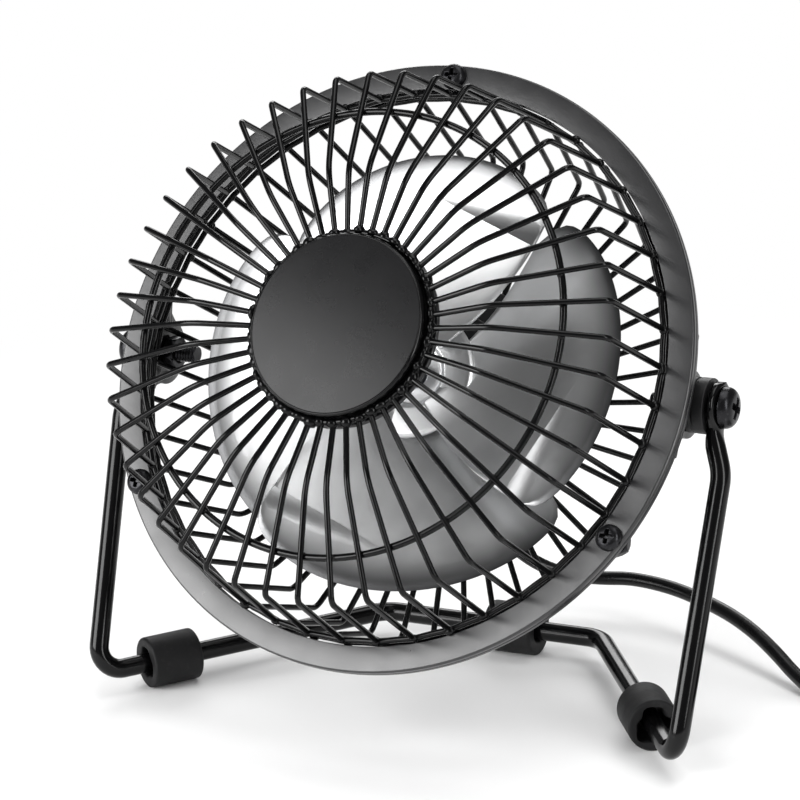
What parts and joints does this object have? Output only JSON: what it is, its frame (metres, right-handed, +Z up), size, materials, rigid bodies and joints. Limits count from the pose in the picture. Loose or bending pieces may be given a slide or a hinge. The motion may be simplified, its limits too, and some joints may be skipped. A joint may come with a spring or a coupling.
{
  "type": "desk fan",
  "caption": "Small desk fan: a round wire-guarded metal head that tilts on a bent-wire stand with rubber feet, with a USB lead.",
  "frame": {"origin": "on the desk, under the middle of the fan's bounding box, measured without the lead", "axes": "+Z up, the fan looks towards -Y and leans back, +X to the right as seen from the front"},
  "size_m": [0.226, 0.1282, 0.1427],
  "materials": {
    "black_paint": "satin",
    "black_wire": "gloss",
    "black_rubber": "matte",
    "black_plastic": "satin",
    "dark_steel": "black oxide",
    "steel": "bright",
    "aluminium": "polished",
    "brass": "machined",
    "magnet": "sintered",
    "copper": "wound wire"
  },
  "bodies": {
    "stand": {"stand_frame": "black_paint", "foot_front_right": "black_rubber", "foot_front_left": "black_rubber", "foot_rear": "black_rubber", "lead": "black_rubber", "lead_tail": "black_rubber", "lead_coil": "black_rubber", "lead_tie": "black_plastic", "usb_plug": "black_plastic", "usb_shell": "steel", "usb_tongue": "black_plastic"},
    "head": {"front_ring": "black_paint", "rear_ring": "black_paint", "ring_screw_1": "dark_steel", "ring_screw_2": "dark_steel", "ring_screw_3": "dark_steel", "ring_nut_1": "dark_steel", "ring_nut_2": "dark_steel", "ring_nut_3": "dark_steel", "front_guard": "black_wire", "rear_guard": "black_wire", "front_cap": "black_paint", "hub_plate": "black_paint", "cap_rivet": "steel", "pivot_bracket_right": "black_paint", "pivot_bracket_left": "black_paint", "pivot_spacer_right": "black_plastic", "pivot_spacer_left": "black_plastic", "pivot_screw_right": "dark_steel", "pivot_screw_left": "dark_steel", "pivot_nut_right": "dark_steel", "pivot_nut_left": "dark_steel", "motor_housing": "black_plastic", "motor_can": "steel", "bush_front": "brass", "bush_rear": "brass", "motor_end_cap": "black_plastic", "magnet_right": "magnet", "magnet_left": "magnet", "motor_screw_1": "steel", "motor_screw_2": "steel", "rear_cover": "black_plastic", "cover_screw_1": "dark_steel", "cover_screw_2": "dark_steel", "cover_screw_3": "dark_steel", "switch_body": "black_plastic", "strain_relief": "black_rubber"},
    "rotor": {"impeller": "aluminium", "blade_hub": "brass", "motor_shaft": "steel", "armature": "copper"},
    "rocker": {"rocker": "black_plastic"}
  },
  "joints": [
    {"name": "head_tilt", "type": "hinge", "parent": "stand", "child": "head", "pos_m": [0, 0.00881, 0.07485], "axis": [-1, 0, 0], "range_deg": [-45, 59], "deforming": ["lead"]},
    {"name": "fan_spin", "type": "hinge", "parent": "head", "child": "rotor", "pos_m": [0, 0.00881, 0.07485], "axis": [0, -0.8594, 0.5113], "continuous": true},
    {"name": "switch_rock", "type": "hinge", "parent": "head", "child": "rocker", "pos_m": [0, 0.04556, 0.07346], "axis": [0, 0.5113, 0.8594], "range_deg": [-16, 0]}
  ]
}
